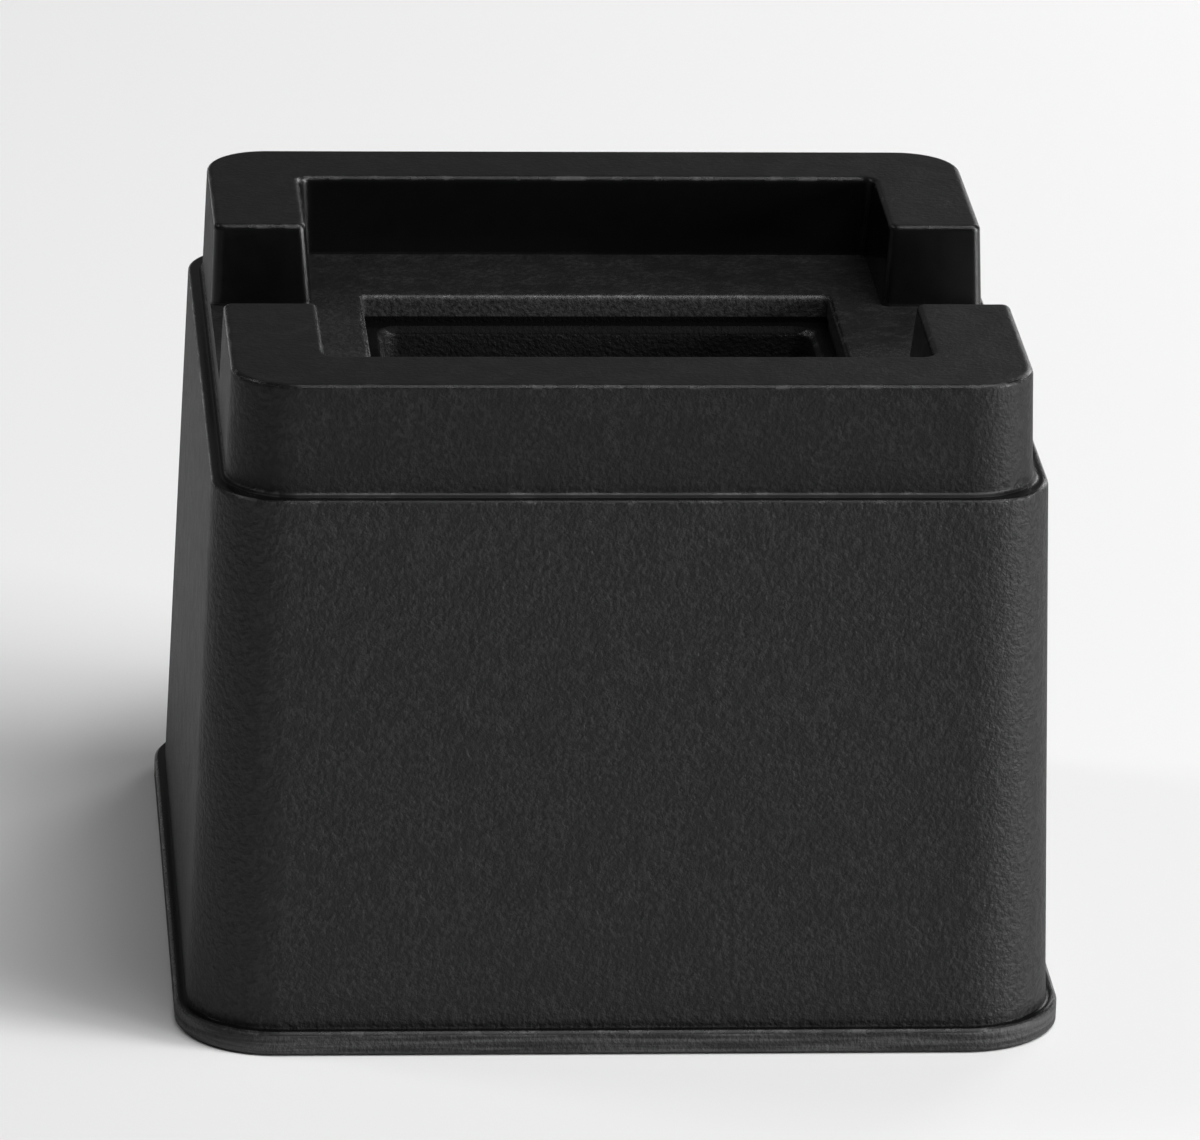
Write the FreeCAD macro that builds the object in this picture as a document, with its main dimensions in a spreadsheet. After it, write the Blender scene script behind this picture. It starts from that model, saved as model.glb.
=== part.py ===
import FreeCAD, Part
import Sketcher
import math
import os

# A stackable furniture riser, moulded in one piece: a drafted square skirt on a foot rim, a ledge,
# two U-shaped collar walls round a square recess for the leg, and a centre well.
# The underside is hollow and ribbed, so the skirt also slips over the collar of another riser.
# The origin is under the middle of the foot, and the open sides of the collar face +X and -X.

# Driving sizes, in millimetres and degrees
sizes = {
    "lift": 76.2,  # ground to the recess floor that the leg stands on
    "recess_depth": 10.5,
    "floor_step": 3.8,  # recess floor above the ledge
    "collar_width": 100.0,  # square collar, at its rim
    "collar_corner": 8.0,
    "collar_wall": 11.9,  # collar thickness, at its rim
    "ledge_width": 1.8,
    "wall_draft": 2.0,
    "recess_corner": 0.8,
    "recess_draft": 5.0,
    "gap_width": 33.0,  # open sides of the collar, at the rim
    "gap_draft": 9.0,
    "seat_side": 6.6,  # recess floor left beside the mouth of the well
    "seat_front": 17.9,
    "mouth_depth": 3.6,
    "mouth_corner": 0.5,
    "well_step": 2.6,  # step between the mouth and the well
    "well_corner": 1.5,
    "well_draft": 0.7,
    "well_wall": 2.8,
    "skirt_corner": 11.5,
    "deck_wall": 3.4,
    "core_wall": 3.2,  # skin left round the cored-out collar
    "rib_wall": 2.6,
    "stack_clearance": 0.5,  # round the collar of a riser that is stacked below
    "rib_clearance": 0.6,  # above that collar
    "rim_height": 3.2,
    "rim_reach": 1.3,  # foot rim beyond the skirt
    "top_round": 0.7,
    "arm_round": 1.2,
    "ledge_round": 0.5,
    "mouth_bevel": 0.4,
    "well_bevel": 0.8,
    "collar_root": 0.45,  # bevel in the corner between the collar and the ledge
    "rim_bevel": 0.4,
    "foot_bevel": 0.4,
}
tolerance = 1e-4

# Sizes that follow from the driving ones, as expressions on the sheet
draft = "tan(Sizes.wall_draft)"
total_height = "(Sizes.lift + Sizes.recess_depth)"
ledge_height = "(Sizes.lift - Sizes.floor_step)"
collar_height = "(Sizes.recess_depth + Sizes.floor_step)"
collar_foot = f"(Sizes.collar_width + 2 * {collar_height} * {draft})"
collar_foot_corner = f"(Sizes.collar_corner + {collar_height} * {draft})"
skirt_foot = f"({collar_foot} + 2 * Sizes.ledge_width + 2 * {ledge_height} * {draft})"
recess_width = "(Sizes.collar_width - 2 * Sizes.collar_wall)"
recess_floor = f"({recess_width} - 2 * Sizes.recess_depth * tan(Sizes.recess_draft))"
shoulder_height = f"({ledge_height} - Sizes.core_wall)"
deck_under = "(Sizes.lift - Sizes.deck_wall)"
rib_height = f"({collar_height} + Sizes.rib_clearance)"
mouth_length = f"({recess_floor} - 2 * Sizes.seat_side)"
mouth_width = f"({recess_floor} - 2 * Sizes.seat_front)"
mouth_floor = "(Sizes.lift - Sizes.mouth_depth)"
mouth_taper = f"(Sizes.mouth_depth * {draft})"
well_floor = f"({rib_height} + Sizes.well_wall)"
well_depth = f"({mouth_floor} - {well_floor})"
well_taper = f"({well_depth} * tan(Sizes.well_draft))"
well_top_length = f"({mouth_length} - 2 * Sizes.well_step)"
well_top_width = f"({mouth_width} - 2 * Sizes.well_step)"
well_length = f"({well_top_length} - 2 * {well_taper})"
well_width = f"({well_top_width} - 2 * {well_taper})"

doc = FreeCAD.newDocument("BedRiser")

sheet = doc.addObject("Spreadsheet::Sheet", "Sizes")
for row, (alias, number) in enumerate(sizes.items(), start=1):
    sheet.set(f"A{row}", alias)
    sheet.set(f"B{row}", str(number))
    sheet.setAlias(f"B{row}", alias)
doc.recompute()

body = doc.addObject("PartDesign::Body", "Riser")
body.Label = "riser"
body.Placement = FreeCAD.Placement()
planes = {feature.Role: feature for feature in body.Origin.OriginFeatures}


def value(expression):
    return float(sheet.evalExpression(expression))


def new_sketch(name, plane, offset):
    sketch = body.newObject("Sketcher::SketchObject", name + "Outline")
    sketch.AttachmentSupport = [(planes[plane], "")]
    sketch.MapMode = "FlatFace"
    sketch.setExpression("AttachmentOffset.Base.z", offset)
    return sketch


def bind(sketch, name, expression, *constraint):
    index = sketch.addConstraint(Sketcher.Constraint(*constraint, value(expression)))
    sketch.renameConstraint(index, name)
    sketch.setExpression(f"Constraints.{name}", expression)


def rounded_rectangle(name, height, length, width, radius):
    # Sides and corner arcs alternate, counter-clockwise from the +X side
    sketch = new_sketch(name, "XY_Plane", height)
    x, y, r = value(length) / 2, value(width) / 2, value(radius)
    arcs = []
    for quarter, (right, up) in enumerate(((1, 1), (-1, 1), (-1, -1), (1, -1))):
        centre = FreeCAD.Vector(right * (x - r), up * (y - r), 0)
        circle = Part.Circle(centre, FreeCAD.Vector(0, 0, 1), r)
        arcs.append(Part.ArcOfCircle(circle, math.radians(90 * quarter), math.radians(90 * quarter + 90)))
    for quarter, arc in enumerate(arcs):
        sketch.addGeometry(Part.LineSegment(arcs[quarter - 1].EndPoint, arc.StartPoint), False)
        sketch.addGeometry(arc, False)
    for quarter in range(4):
        side, arc, following = 2 * quarter, 2 * quarter + 1, (2 * quarter + 2) % 8
        sketch.addConstraint(Sketcher.Constraint("Tangent", side, 2, arc, 1))
        sketch.addConstraint(Sketcher.Constraint("Tangent", arc, 2, following, 1))
        sketch.addConstraint(Sketcher.Constraint("Horizontal" if quarter % 2 else "Vertical", side))
        if quarter:
            sketch.addConstraint(Sketcher.Constraint("Equal", 1, arc))
    sketch.addConstraint(Sketcher.Constraint("Symmetric", 1, 3, 5, 3, -1, 1))
    bind(sketch, "length", length, "DistanceX", 4, 1, 0, 1)
    bind(sketch, "width", width, "DistanceY", 6, 1, 2, 1)
    bind(sketch, "radius", radius, "Radius", 1)
    return sketch


def polygon(name, plane, offset, points):
    # Each corner is placed from the origin of the sketch by two expressions
    sketch = new_sketch(name, plane, offset)
    places = [FreeCAD.Vector(value(across), value(up), 0) for across, up in points]
    for index, place in enumerate(places):
        sketch.addGeometry(Part.LineSegment(places[index - 1], place), False)
    for index, (across, up) in enumerate(points):
        following = (index + 1) % len(points)
        sketch.addConstraint(Sketcher.Constraint("Coincident", index, 2, following, 1))
        bind(sketch, f"across{index}", across, "DistanceX", index, 2)
        bind(sketch, f"up{index}", up, "DistanceY", index, 2)
    return sketch


def settle(feature):
    # A feature that leaves the solid as it was points the wrong way or has found no edge
    doc.recompute()
    before = feature.BaseFeature.Shape.Volume if feature.BaseFeature else 0
    if feature.Shape.isNull() or abs(feature.Shape.Volume - before) < tolerance:
        raise RuntimeError(f"{feature.Name} does nothing")
    return feature


def extrude(kind, sketch, length, taper="0", symmetric=False):
    feature = body.newObject(f"PartDesign::{kind}", sketch.Name.replace("Outline", ""))
    feature.Profile = sketch
    feature.setExpression("Length", length)
    feature.setExpression("TaperAngle", taper)
    feature.SideType = "Symmetric" if symmetric else "One side"
    # A pocket cuts against its sketch's normal, so it is reversed to go up like a pad
    feature.Reversed = kind == "Pocket"
    return settle(feature)


def mirror(feature, plane):
    mirrored = body.newObject("PartDesign::Mirrored", feature.Name + "Mirrored")
    mirrored.Originals = [feature]
    mirrored.MirrorPlane = (planes[plane], [""])
    body.Tip = mirrored
    return settle(mirrored)


def soften(kind, name, size, chosen):
    base = body.Tip
    edges = [f"Edge{index}" for index, edge in enumerate(base.Shape.Edges, start=1) if chosen(edge)]
    feature = body.newObject(f"PartDesign::{kind}", name)
    feature.Base = (base, edges)
    feature.setExpression("Radius" if kind == "Fillet" else "Size", size)
    return settle(feature)


def at_height(edge, height):
    return all(abs(vertex.Z - value(height)) < tolerance for vertex in edge.Vertexes)


def level_face(height):
    # The widest face that lies level at this height
    level = [face for face in body.Tip.Shape.Faces if all(at_height(edge, height) for edge in face.Edges)]
    return max(level, key=lambda face: face.BoundBox.XLength)


def outer_edges(height):
    wire = level_face(height).OuterWire
    return lambda edge: any(edge.isSame(other) for other in wire.Edges)


def inner_edges(height):
    face = level_face(height)
    wires = [wire for wire in face.Wires if not wire.isSame(face.OuterWire)]
    return lambda edge: any(edge.isSame(other) for wire in wires for other in wire.Edges)


# Outside: skirt, foot rim and collar
extrude(
    "Pad",
    rounded_rectangle("Skirt", "0", skirt_foot, skirt_foot, "Sizes.skirt_corner"),
    ledge_height,
    "-Sizes.wall_draft",
)
rim_width = f"({skirt_foot} + 2 * Sizes.rim_reach)"
rim_corner = "(Sizes.skirt_corner + Sizes.rim_reach)"
extrude("Pad", rounded_rectangle("FootRim", "0", rim_width, rim_width, rim_corner), "Sizes.rim_height")
extrude(
    "Pad",
    rounded_rectangle("Collar", ledge_height, collar_foot, collar_foot, collar_foot_corner),
    collar_height,
    "-Sizes.wall_draft",
)

# Top: square recess for the leg, and the gaps that open its two sides
extrude(
    "Pocket",
    rounded_rectangle("Recess", "Sizes.lift", recess_floor, recess_floor, "Sizes.recess_corner"),
    "Sizes.recess_depth",
    "Sizes.recess_draft",
)
gap_top = "Sizes.gap_width / 2"
gap_foot = f"({gap_top} - Sizes.recess_depth * tan(Sizes.gap_draft))"
gap_corners = [
    (f"-{gap_foot}", "Sizes.lift"),
    (gap_foot, "Sizes.lift"),
    (gap_top, total_height),
    (f"-{gap_top}", total_height),
]
extrude("Pocket", polygon("Gap", "YZ_Plane", "0", gap_corners), skirt_foot, symmetric=True)

# Underside: the skirt fits over a collar and is hollow up to its shoulder under the ledge,
# and the foot of the collar is hollow from there up to the deck
cavity_foot = f"({collar_foot} + 2 * Sizes.stack_clearance)"
cavity_corner = f"({collar_foot_corner} + Sizes.stack_clearance)"
extrude(
    "Pocket",
    rounded_rectangle("Cavity", "0", cavity_foot, cavity_foot, cavity_corner),
    shoulder_height,
    "-Sizes.wall_draft",
)
throat_width = f"({collar_foot} - 2 * Sizes.core_wall)"
throat_corner = f"({collar_foot_corner} - Sizes.core_wall)"
extrude(
    "Pocket",
    rounded_rectangle("Throat", shoulder_height, throat_width, throat_width, throat_corner),
    f"({deck_under} - {shoulder_height})",
    "-Sizes.wall_draft",
)

# Each collar wall is cored out from below, so that it is a skin of even thickness
core_outer = f"({throat_width} / 2 - ({deck_under} - {shoulder_height}) * {draft})"
core_inner = f"({recess_width} / 2 + Sizes.core_wall)"
core_end = f"({gap_top} + Sizes.core_wall)"
core_bevel = f"({core_outer} - {throat_corner} * (2 - sqrt(2)))"
core_corners = [
    (core_outer, core_end),
    (core_outer, core_bevel),
    (core_bevel, core_outer),
    (f"-{core_bevel}", core_outer),
    (f"-{core_outer}", core_bevel),
    (f"-{core_outer}", core_end),
    (f"-{core_inner}", core_end),
    (f"-{core_inner}", core_inner),
    (core_inner, core_inner),
    (core_inner, core_end),
]
core_depth = f"({total_height} - Sizes.core_wall - {deck_under})"
mirror(extrude("Pocket", polygon("Core", "XY_Plane", deck_under, core_corners), core_depth), "XZ_Plane")

# Box of the well, with a wider tray under its mouth
box_height = f"({deck_under} - {rib_height})"
box_length = f"({well_length} + 2 * Sizes.well_wall)"
box_width = f"({well_width} + 2 * Sizes.well_wall)"
box_corner = "(Sizes.well_corner + Sizes.well_wall)"
extrude(
    "Pad",
    rounded_rectangle("WellBox", rib_height, box_length, box_width, box_corner),
    box_height,
    "Sizes.well_draft",
)
tray_under = f"({mouth_floor} - Sizes.well_wall)"
tray_length = f"({mouth_length} + 2 * Sizes.well_wall)"
tray_width = f"({mouth_width} + 2 * Sizes.well_wall)"
tray_corner = "(Sizes.mouth_corner + Sizes.well_wall)"
extrude(
    "Pad",
    rounded_rectangle("Tray", tray_under, tray_length, tray_width, tray_corner),
    f"({deck_under} - {tray_under})",
)


# Ribs in line with the walls of the well: their ends follow the middle of the drafted skirt
def rib_reach(height):
    return f"(({skirt_foot} + {cavity_foot}) / 4 - {height} * {draft})"


rib_top = f"({throat_width} / 2)"
rib_corners = [
    (f"-{rib_reach(rib_height)}", rib_height),
    (rib_reach(rib_height), rib_height),
    (rib_reach(shoulder_height), shoulder_height),
    (rib_top, shoulder_height),
    (rib_top, deck_under),
    (f"-{rib_top}", deck_under),
    (f"-{rib_top}", shoulder_height),
    (f"-{rib_reach(shoulder_height)}", shoulder_height),
]
for name, plane, across in (("SideRib", "XZ_Plane", well_width), ("FrontRib", "YZ_Plane", well_length)):
    rib_place = f"({across} / 2 + Sizes.well_wall / 2)"
    rib = extrude("Pad", polygon(name, plane, rib_place, rib_corners), "Sizes.rib_wall", symmetric=True)
    mirror(rib, plane)

# Well, with a wider mouth in the recess floor
mouth_foot_length = f"({mouth_length} - 2 * {mouth_taper})"
mouth_foot_width = f"({mouth_width} - 2 * {mouth_taper})"
extrude(
    "Pocket",
    rounded_rectangle("Mouth", mouth_floor, mouth_foot_length, mouth_foot_width, "Sizes.mouth_corner"),
    "Sizes.mouth_depth",
    "Sizes.wall_draft",
)
extrude(
    "Pocket",
    rounded_rectangle("Well", well_floor, well_length, well_width, "Sizes.well_corner"),
    well_depth,
    "Sizes.well_draft",
)


# Rounded and bevelled edges
def on_arm_end(edge):
    # The upright edges of the arm ends, from the recess floor to the rim
    heights = [vertex.Z for vertex in edge.Vertexes]
    from_floor = abs(min(heights) - value("Sizes.lift")) < tolerance
    to_rim = abs(max(heights) - value(total_height)) < tolerance
    return from_floor and to_rim and abs(edge.CenterOfMass.y) < value(gap_top)


def within(length, width, height):
    # Level edges at this height, on or inside a rectangle about the middle
    def chosen(edge):
        in_length = abs(edge.CenterOfMass.x) < value(length) / 2 + tolerance
        in_width = abs(edge.CenterOfMass.y) < value(width) / 2 + tolerance
        return in_length and in_width and at_height(edge, height)

    return chosen


soften("Fillet", "ArmRound", "Sizes.arm_round", on_arm_end)
soften("Fillet", "TopRound", "Sizes.top_round", lambda edge: at_height(edge, total_height))
soften("Fillet", "LedgeRound", "Sizes.ledge_round", outer_edges(ledge_height))
soften("Chamfer", "CollarRoot", "Sizes.collar_root", inner_edges(ledge_height))
soften("Chamfer", "MouthBevel", "Sizes.mouth_bevel", within(mouth_length, mouth_width, "Sizes.lift"))
soften("Chamfer", "WellBevel", "Sizes.well_bevel", within(well_top_length, well_top_width, mouth_floor))
soften("Chamfer", "RimBevel", "Sizes.rim_bevel", outer_edges("Sizes.rim_height"))
soften("Chamfer", "FootBevel", "Sizes.foot_bevel", outer_edges("0"))

failed = [item.Name for item in doc.Objects if {"Invalid", "Error"} & set(item.State)]
shape = body.Shape
if failed or shape.isNull() or not shape.isValid() or len(shape.Solids) != 1:
    raise RuntimeError(f"the riser did not build: {failed}")

os.makedirs("parts", exist_ok=True)
shape.exportStep(f"parts/{body.Label}.step")
box = shape.optimalBoundingBox(True, False)
extents = f"{box.XLength:.2f} x {box.YLength:.2f} x {box.ZLength:.2f} mm"
print(f"{body.Label}: {extents}, {shape.Volume / 1000:.1f} cm3")
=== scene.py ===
import bpy
import math
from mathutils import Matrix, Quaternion, Vector


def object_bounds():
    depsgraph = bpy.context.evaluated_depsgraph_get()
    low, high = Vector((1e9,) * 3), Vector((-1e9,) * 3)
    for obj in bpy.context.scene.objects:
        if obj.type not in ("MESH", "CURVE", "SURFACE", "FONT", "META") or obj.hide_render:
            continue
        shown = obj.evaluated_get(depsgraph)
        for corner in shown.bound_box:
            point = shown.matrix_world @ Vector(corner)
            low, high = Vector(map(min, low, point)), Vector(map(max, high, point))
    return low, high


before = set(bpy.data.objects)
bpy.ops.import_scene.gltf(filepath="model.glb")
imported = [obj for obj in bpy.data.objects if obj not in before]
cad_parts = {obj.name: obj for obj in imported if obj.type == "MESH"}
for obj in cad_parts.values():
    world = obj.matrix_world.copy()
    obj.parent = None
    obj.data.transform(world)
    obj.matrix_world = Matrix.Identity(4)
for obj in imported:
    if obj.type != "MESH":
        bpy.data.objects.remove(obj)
cadLow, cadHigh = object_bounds()
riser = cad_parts["riser"]
print("frame loaded, riser is", [round(side * 1000, 1) for side in cadHigh - cadLow], "mm")


# Small helpers for node trees
def newTree(owner):
    owner.use_nodes = True
    tree = owner.node_tree
    tree.nodes.clear()
    return tree


def addNode(tree, kind, **settings):
    node = tree.nodes.new("ShaderNode" + kind)
    for name, setting in settings.items():
        setattr(node, name, setting)
    return node


def feed(tree, socket, source):
    # a link where the source is another node's socket, a plain value otherwise
    if isinstance(source, bpy.types.NodeSocket):
        tree.links.new(source, socket)
    else:
        socket.default_value = source


def feedAll(tree, node, **sources):
    # socket names lose their spaces here, as in FromMin
    sockets = {socket.name.replace(" ", ""): socket for socket in node.inputs if socket.enabled}
    for name, source in sources.items():
        feed(tree, sockets[name], source)


def maths(tree, operation, *inputs):
    node = addNode(tree, "Math", operation=operation)
    for socket, source in zip(node.inputs, inputs):
        feed(tree, socket, source)
    return node.outputs[0]


def dot(tree, first, second):
    node = addNode(tree, "VectorMath", operation="DOT_PRODUCT")
    feed(tree, node.inputs[0], first)
    feed(tree, node.inputs[1], second)
    return node.outputs["Value"]


def axes(tree, vector):
    node = addNode(tree, "SeparateXYZ")
    feed(tree, node.inputs[0], vector)
    return node.outputs


def ramp(tree, source, fromLow, fromHigh, toLow=0.0, toHigh=1.0):
    node = addNode(tree, "MapRange", interpolation_type="SMOOTHSTEP")
    feedAll(tree, node, Value=source, FromMin=fromLow, FromMax=fromHigh, ToMin=toLow, ToMax=toHigh)
    return node.outputs["Result"]


def noise(tree, place, size, detail, roughness):
    # size is the width of one blob in metres
    node = addNode(tree, "TexNoise")
    feedAll(tree, node, Vector=place, Scale=1 / size, Detail=detail, Roughness=roughness)
    return node.outputs["Fac"]


def blend(tree, share, colour, other):
    node = addNode(tree, "Mix", data_type="RGBA")
    feedAll(tree, node, Factor=share, A=colour, B=other)
    return [socket for socket in node.outputs if socket.enabled][0]


def bump(tree, height, strength, depth, normal):
    node = addNode(tree, "Bump")
    feedAll(tree, node, Height=height, Strength=strength, Distance=depth, Normal=normal)
    return node.outputs["Normal"]


# Masks go from 0 to 1, with a short soft step at a limit
stepHalf = 0.0001


def under(tree, source, limit, margin=stepHalf):
    return ramp(tree, source, limit + margin, limit - margin)


def over(tree, source, limit, margin=stepHalf):
    return ramp(tree, source, limit - margin, limit + margin)


def overlap(tree, first, *others):
    for other in others:
        first = maths(tree, "MULTIPLY", first, other)
    return first


def either(tree, first, second):
    return maths(tree, "MAXIMUM", first, second)


def notIn(tree, mask):
    return maths(tree, "SUBTRACT", 1.0, mask)


def addShares(tree, total, zones, shares):
    for name, share in shares.items():
        total = maths(tree, "ADD", total, maths(tree, "MULTIPLY", zones[name], share))
    return total


# Moulded black plastic: grained outside, on the recess floor and in the well,
# satin on the rim, polished on the recess walls and the ledges
blackPlastic = {
    "black": (0.003, 0.003, 0.0031, 1),
    "grainTips": (0.011, 0.011, 0.0112, 1),
    # pale tips in the well: grain, and a painted light on the mouth wall
    "wellTips": (0.048, 0.048, 0.0482, 1),
    # pale edge colour: wear, and a painted highlight along the edges
    "wornBlack": (0.04, 0.04, 0.0402, 1),
    "footBlack": (0.01, 0.01, 0.0102, 1),
    "footLines": (0.055, 0.055, 0.0552, 1),
    "grain": (0.0008, 2.0, 0.65),            # noises: blob width, detail, roughness
    "wellGrain": (0.0006, 3.0, 0.65),
    "mottle": (0.0035, 4.0, 0.7),
    "scuffs": (0.0035, 4.0, 0.65),
    "lines": (0.0006, 3.0, 0.6),
    "lineStretch": (0.04, 0.04, 1),          # small sideways, so the lines run round the foot
    "grainDepth": 0.0003,
    "wellGrainDepth": 0.0002,
    "zoneGrain": {"collar": -0.3, "recessFloor": 0.6, "rim": 0.22},   # added to the outside's 1
    "mouthGrain": 0.8,                       # share of the well's grain above its ledge
    "deepTips": 0.08,                        # share of the mouth's tips kept below that ledge, a painted shade deeper in the well
    "mouthRise": 0.001,
    "tipRange": (0.4, 0.66),                 # parts of a noise that turn into a mask
    "wellTipRange": (0.24, 0.76),
    "lineRange": (0.35, 0.7),
    "scuffRange": (0.5, 0.68),
    "tipMottle": (0.32, 0.68, 0.0, 2.0),     # part of the mottle, then what it gives
    "edgeMottle": (0.35, 0.65, 0.3, 1.0),
    "satinMottle": (0.3, 0.7),
    "satinRoughness": (0.36, 0.44),          # smooth and rough patches of the mottle
    "zoneRoughness": {                       # middle of each zone that isn't satin
        "skirt": 0.6, "foot": 0.68, "recessFloor": 0.56, "well": 0.55,
        "recessWall": 0.2, "wellLedge": 0.2, "ledge": 0.2, "footStep": 0.2,
    },
    "edgeRoughness": 0.22,
    "edgeSoftness": 0.0007,
    "wellEdgeSoftness": 0.0006,
    "edgeSamples": 4,
    "edgeTurn": (0.995, 0.85),               # softened normal against the true one, flat to edge
    "specular": 0.34,
    "shadedSpecular": 0.06,
    "collarDulling": 0.06,                   # taken off the specular
    "rootShade": 0.8,                        # how much of the painted shade a corner gets
    "seamShade": 0.55,
    "outsideReach": (0.042, 0.048),          # how far out a wall has to face, in metres
    "level": (0.85, 0.95),                   # upward part of a face's normal
    "upright": (0.85, 0.75),
    "turnedFrom": (0.23, 0.33),
    "turnedTo": (0.98, 0.9),
    "footTop": 0.003,                        # heights in metres, with spans below and above
    "footStepSpan": 0.0006,
    "seamSpan": 0.001,
    "seamFade": 0.0007,
    "collarFoot": 0.0724,
    "collarStart": 0.0003,
    "ledgeSpan": (-0.0006, 0.0004),
    "rootSpan": (0.0, 0.0003),
    "recessFloor": 0.0762,
    "recessFloorSpan": (-0.0003, 0.0003),
    "rimStart": 0.005,                       # above the recess floor
    "wellLedge": 0.0726,
    "wellLedgeSpan": (-0.001, 0.0008),
    "wellEndDrop": 0.0009,
    "wellTopDrop": 0.0002,                   # below the recess floor
    "wellBottom": 0.0165,
    "mouth": (0.0308, 0.0195),               # half sizes across and deep
    "mouthRound": (0.0315, 0.0202),
    "wellEdge": (0.0296, 0.0183),
    "wellEnd": 0.0166,
}


def findZones(tree, finish, place, faceNormal):
    zones = {}
    across, deep, height = axes(tree, place)
    fromMiddle = maths(tree, "ABSOLUTE", across), maths(tree, "ABSOLUTE", deep)
    upward = axes(tree, faceNormal)[2]
    level, upright = ramp(tree, upward, *finish["level"]), ramp(tree, upward, *finish["upright"])
    zones["turned"] = overlap(tree, ramp(tree, upward, *finish["turnedFrom"]),
                              ramp(tree, upward, *finish["turnedTo"]))

    def inRectangle(half):
        return overlap(tree, under(tree, fromMiddle[0], half[0]), under(tree, fromMiddle[1], half[1]))

    def inSpan(middle, span):
        return overlap(tree, over(tree, height, middle + span[0]), under(tree, height, middle + span[1]))

    # how far a wall faces away from the middle: only the outside walls reach that far
    flatPlace = addNode(tree, "CombineXYZ")
    feedAll(tree, flatPlace, X=across, Y=deep)
    outside = ramp(tree, dot(tree, faceNormal, flatPlace.outputs[0]), *finish["outsideReach"])
    zones["outside"] = outside

    # foot, skirt and collar
    footTop, collarFoot = finish["footTop"], finish["collarFoot"]
    inMouth = inRectangle(finish["mouth"])
    zones["foot"] = overlap(tree, outside, under(tree, height, footTop))
    zones["footStep"] = overlap(tree, level, under(tree, height, footTop + finish["footStepSpan"]))
    zones["skirt"] = overlap(tree, outside, over(tree, height, footTop))
    zones["collar"] = overlap(tree, outside, over(tree, height, collarFoot + finish["collarStart"]))
    zones["ledge"] = overlap(tree, level, inSpan(collarFoot, finish["ledgeSpan"]), notIn(tree, inMouth))

    # recess, rim and well
    floorHeight, ledgeHeight = finish["recessFloor"], finish["wellLedge"]
    floorLow, floorHigh = finish["recessFloorSpan"]
    nearFloor = inSpan(floorHeight, (floorLow, floorHigh))
    zones["recessFloor"] = overlap(tree, level, nearFloor)
    aboveFloor = over(tree, height, floorHeight + floorHigh)
    zones["recessWall"] = overlap(tree, upright, notIn(tree, outside), aboveFloor)
    zones["rim"] = overlap(tree, level, over(tree, height, floorHeight + finish["rimStart"]))
    ledgeLow, ledgeHigh = finish["wellLedgeSpan"]
    lowInMouth = overlap(tree, inMouth, under(tree, height, ledgeHeight + ledgeHigh))
    zones["wellLedge"] = overlap(tree, level, lowInMouth, over(tree, height, ledgeHeight + ledgeLow))
    zones["well"] = overlap(tree, inMouth, under(tree, height, floorHeight - finish["wellTopDrop"]),
                            over(tree, height, finish["wellBottom"]), notIn(tree, zones["wellLedge"]))
    mouthRise = ledgeHeight, ledgeHeight + finish["mouthRise"]
    mouthGrain = ramp(tree, height, *mouthRise, 1.0, finish["mouthGrain"])
    # full tips on the mouth wall as a painted light, few below the ledge as a painted shade
    mouthPaintedLightShare = ramp(tree, height, *mouthRise, finish["deepTips"], 1.0)
    zones["wellGrain"] = overlap(tree, zones["well"], mouthGrain)
    zones["wellTips"] = overlap(tree, zones["well"], mouthPaintedLightShare)

    # painted shade: corners that get little light lose the pale grain tips and the edge wear, and most of
    # their sheen
    wellEnds = overlap(tree, lowInMouth, over(tree, height, ledgeHeight - finish["wellEndDrop"]),
                       over(tree, fromMiddle[1], finish["wellEnd"]))
    root = maths(tree, "MULTIPLY", inSpan(collarFoot, finish["rootSpan"]), finish["rootShade"])
    seam = overlap(tree, zones["skirt"],
                   under(tree, height, footTop + finish["seamSpan"], finish["seamFade"]))
    seam = maths(tree, "MULTIPLY", either(tree, seam, zones["footStep"]), finish["seamShade"])
    zones["shaded"] = either(tree, either(tree, wellEnds, root), seam)
    zones["lit"] = notIn(tree, zones["shaded"])

    # sharp corners at the foot of the recess and of the mouth, and the well's own soft edge
    recessFoot = overlap(tree, nearFloor, notIn(tree, inRectangle(finish["mouthRound"])))
    zones["sharp"] = either(tree, recessFoot, lowInMouth)
    zones["wellEdge"] = overlap(tree, lowInMouth, inRectangle(finish["wellEdge"]))
    return zones


def softenEdges(tree, finish, zones):
    softness = maths(tree, "MULTIPLY", notIn(tree, zones["sharp"]), finish["edgeSoftness"])
    wellSoftness = maths(tree, "MULTIPLY", zones["wellEdge"], finish["wellEdgeSoftness"])
    soft = addNode(tree, "Bevel", samples=finish["edgeSamples"])
    feed(tree, soft.inputs["Radius"], maths(tree, "ADD", softness, wellSoftness))
    return soft.outputs[0]


def footLines(tree, finish, place):
    drawn = addNode(tree, "Mapping")
    feedAll(tree, drawn, Vector=place, Scale=finish["lineStretch"])
    lines = noise(tree, drawn.outputs[0], *finish["lines"])
    return blend(tree, ramp(tree, lines, *finish["lineRange"]), finish["footBlack"], finish["footLines"])


def roughen(tree, finish, zones, mottle, edge):
    smooth, rough = finish["satinRoughness"]
    satin = (smooth + rough) / 2
    steps = {name: roughness - satin for name, roughness in finish["zoneRoughness"].items()}
    matt = ramp(tree, mottle, *finish["satinMottle"], smooth, rough)
    matt = addShares(tree, matt, zones, steps)
    shiny = overlap(tree, edge, ramp(tree, mottle, *finish["edgeMottle"]))
    gloss = maths(tree, "MULTIPLY", shiny, maths(tree, "SUBTRACT", finish["edgeRoughness"], matt))
    return maths(tree, "ADD", matt, gloss)


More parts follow.
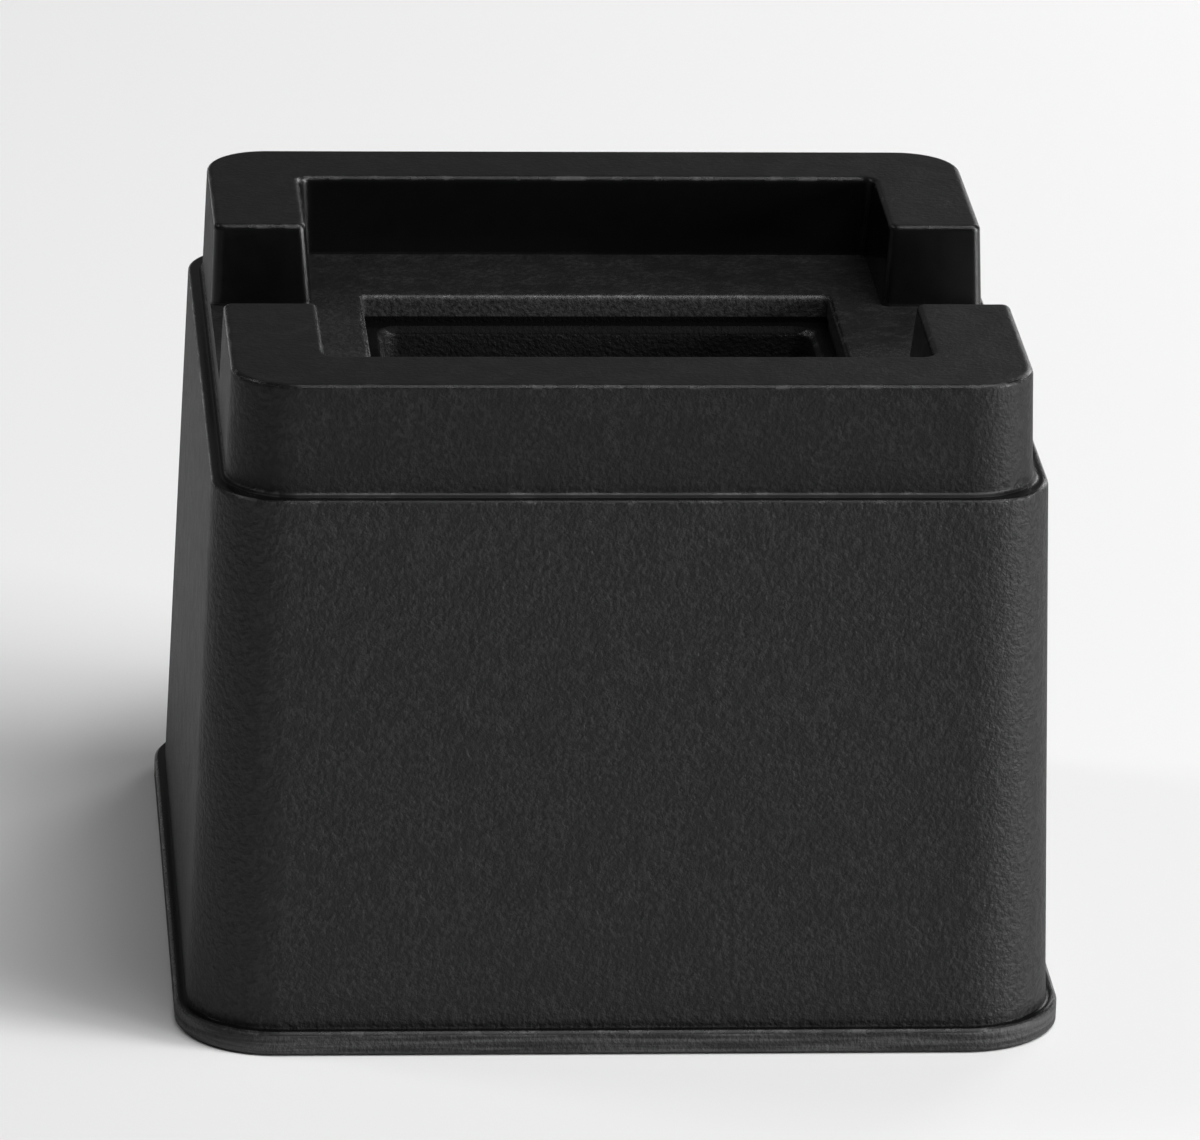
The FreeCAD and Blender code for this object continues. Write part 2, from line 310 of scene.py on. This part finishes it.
def makeBlackPlastic(finish):
    material = bpy.data.materials.new("blackPlasticGrained")
    tree = newTree(material)
    place = addNode(tree, "TexCoord").outputs["Object"]
    geometry = addNode(tree, "NewGeometry")
    zones = findZones(tree, finish, place, geometry.outputs["True Normal"])
    grain = noise(tree, place, *finish["grain"])
    wellGrain = noise(tree, place, *finish["wellGrain"])
    mottle = noise(tree, place, *finish["mottle"])

    # soft edges, then the grain on top, with a sharper one in the well
    soft = softenEdges(tree, finish, zones)
    grainShare = addShares(tree, zones["outside"], zones, finish["zoneGrain"])
    grained = bump(tree, grain, grainShare, finish["grainDepth"], soft)
    welled = bump(tree, wellGrain, zones["wellGrain"], finish["wellGrainDepth"], grained)

    # edges: rounded ones, and where the softened normal leaves the true one
    edgeTurn = ramp(tree, dot(tree, soft, geometry.outputs["Normal"]), *finish["edgeTurn"])
    edge = overlap(tree, either(tree, zones["turned"], edgeTurn), zones["lit"])
    scuffs = ramp(tree, noise(tree, place, *finish["scuffs"]), *finish["scuffRange"])

    # colour: paler tips on the grain, left plain in the painted-shade corners; drawn lines round the foot;
    # edge wear mixed with a painted highlight along the edges
    tips = overlap(tree, grainShare, ramp(tree, grain, *finish["tipRange"]),
                   ramp(tree, mottle, *finish["tipMottle"]), zones["lit"])
    # well tips: paler grain, with a painted light on the mouth wall and a painted shade below its ledge
    wellTips = overlap(tree, zones["wellTips"], ramp(tree, wellGrain, *finish["wellTipRange"]), zones["lit"])
    shade = blend(tree, tips, finish["black"], finish["grainTips"])
    shade = blend(tree, wellTips, shade, finish["wellTips"])
    shade = blend(tree, zones["foot"], shade, footLines(tree, finish, place))
    # worn spots on the edges, which also serve as a painted highlight along them
    shade = blend(tree, overlap(tree, edge, scuffs), shade, finish["wornBlack"])

    # painted shade: less sheen in the shaded corners; less sheen on the collar as well
    sheen = ramp(tree, zones["shaded"], 0.0, 1.0, finish["specular"], finish["shadedSpecular"])
    dulling = maths(tree, "MULTIPLY", zones["collar"], finish["collarDulling"])

    shader = addNode(tree, "BsdfPrincipled")
    feed(tree, shader.inputs["Base Color"], shade)
    feed(tree, shader.inputs["Roughness"], roughen(tree, finish, zones, mottle, edge))
    feed(tree, shader.inputs["Normal"], welled)
    feed(tree, shader.inputs["Specular IOR Level"], maths(tree, "SUBTRACT", sheen, dulling))
    output = addNode(tree, "OutputMaterial")
    feed(tree, output.inputs["Surface"], shader.outputs[0])
    return material


riser.data.materials.clear()
riser.data.materials.append(makeBlackPlastic(blackPlastic))
print("plastic on the riser")


# Floor: a wide pale disc
floor = {"radius": 6.0, "sides": 96, "colour": (0.83, 0.83, 0.83, 1)}


def makeFloor(plan):
    turns = [2 * math.pi * i / plan["sides"] for i in range(plan["sides"])]
    points = [(plan["radius"] * math.cos(turn), plan["radius"] * math.sin(turn), cadLow.z) for turn in turns]
    mesh = bpy.data.meshes.new("floor")
    mesh.from_pydata(points, [], [list(range(plan["sides"]))])
    disc = bpy.data.objects.new("floor", mesh)
    bpy.context.scene.collection.objects.link(disc)
    material = bpy.data.materials.new("paleFloor")
    tree = newTree(material)
    shader = addNode(tree, "BsdfDiffuse")
    shader.inputs["Color"].default_value = plan["colour"]
    output = addNode(tree, "OutputMaterial")
    feed(tree, output.inputs["Surface"], shader.outputs[0])
    mesh.materials.append(material)


makeFloor(floor)
print("floor laid")


# Light: a large soft box above, one low on the right, small ones that draw the edges, a dim pale room
studio = {
    "softBoxes": {
        "top": {"place": (1.5, -0.7, 3.1), "aim": (0, 0, 0.04), "size": (1.4, 2.2), "power": 79},
        "key": {"place": (1.2, -0.48, 0.28), "aim": (0, 0, 0.06), "size": (0.4, 0.45), "power": 17.5},
        "edge": {"place": (0.1, -0.5, 1.6), "aim": (0, 0, 0.08), "size": (0.35, 0.3), "power": 3.5},
        "left": {"place": (-1.1, 0.35, 1.25), "aim": (0, 0, 0.08), "size": (0.3, 0.28), "power": 2.5},
        "back": {"place": (0.5, 0.8, 0.4), "aim": (0, 0, 0.06), "size": (0.35, 0.3), "power": 2},
    },
    "roomColour": (1, 1, 1, 1),
    "roomStrength": 0.09,
}


def addSoftBox(name, plan):
    data = bpy.data.lights.new(name, "AREA")
    data.shape = "RECTANGLE"
    data.size, data.size_y = plan["size"]
    data.energy = plan["power"]
    lamp = bpy.data.objects.new(name, data)
    lamp.location = plan["place"]
    lamp.rotation_euler = (Vector(plan["aim"]) - lamp.location).to_track_quat("-Z", "Y").to_euler()
    bpy.context.scene.collection.objects.link(lamp)


def lightStudio(plan):
    for name, softBox in plan["softBoxes"].items():
        addSoftBox(name + "SoftBox", softBox)
    world = bpy.data.worlds.new("paleRoom")
    tree = newTree(world)
    room = addNode(tree, "Background")
    room.inputs["Color"].default_value = plan["roomColour"]
    room.inputs["Strength"].default_value = plan["roomStrength"]
    output = addNode(tree, "OutputWorld")
    feed(tree, output.inputs["Surface"], room.outputs[0])
    bpy.context.scene.world = world


lightStudio(studio)
print("lights on")


# Camera: the photograph's angle on the riser, which fills most of the picture
viewpoint = {
    "aim": (0.0, 0.0, 0.045),
    "azimuth": -4.71,       # degrees
    "elevation": 19.3,
    "roll": 1.5,
    "distance": 1.242,
    "lens": 287.0,          # millimetres
    "sensor": 36.0,
    "nearest": 0.05,
}


def addCamera(plan):
    data = bpy.data.cameras.new("camera")
    data.lens = plan["lens"]
    data.sensor_width = plan["sensor"]
    data.clip_start = plan["nearest"]
    camera = bpy.data.objects.new("camera", data)
    turn, lift = math.radians(plan["azimuth"]), math.radians(plan["elevation"])
    back = Vector((math.sin(turn) * math.cos(lift), -math.cos(turn) * math.cos(lift), math.sin(lift)))
    camera.location = Vector(plan["aim"]) + plan["distance"] * back
    level = (-back).to_track_quat("-Z", "Y")
    camera.rotation_mode = "QUATERNION"
    camera.rotation_quaternion = level @ Quaternion((0, 0, 1), math.radians(plan["roll"]))
    bpy.context.scene.collection.objects.link(camera)
    bpy.context.scene.camera = camera


addCamera(viewpoint)
bpy.context.scene.view_settings.view_transform = "Standard"
print("camera set")
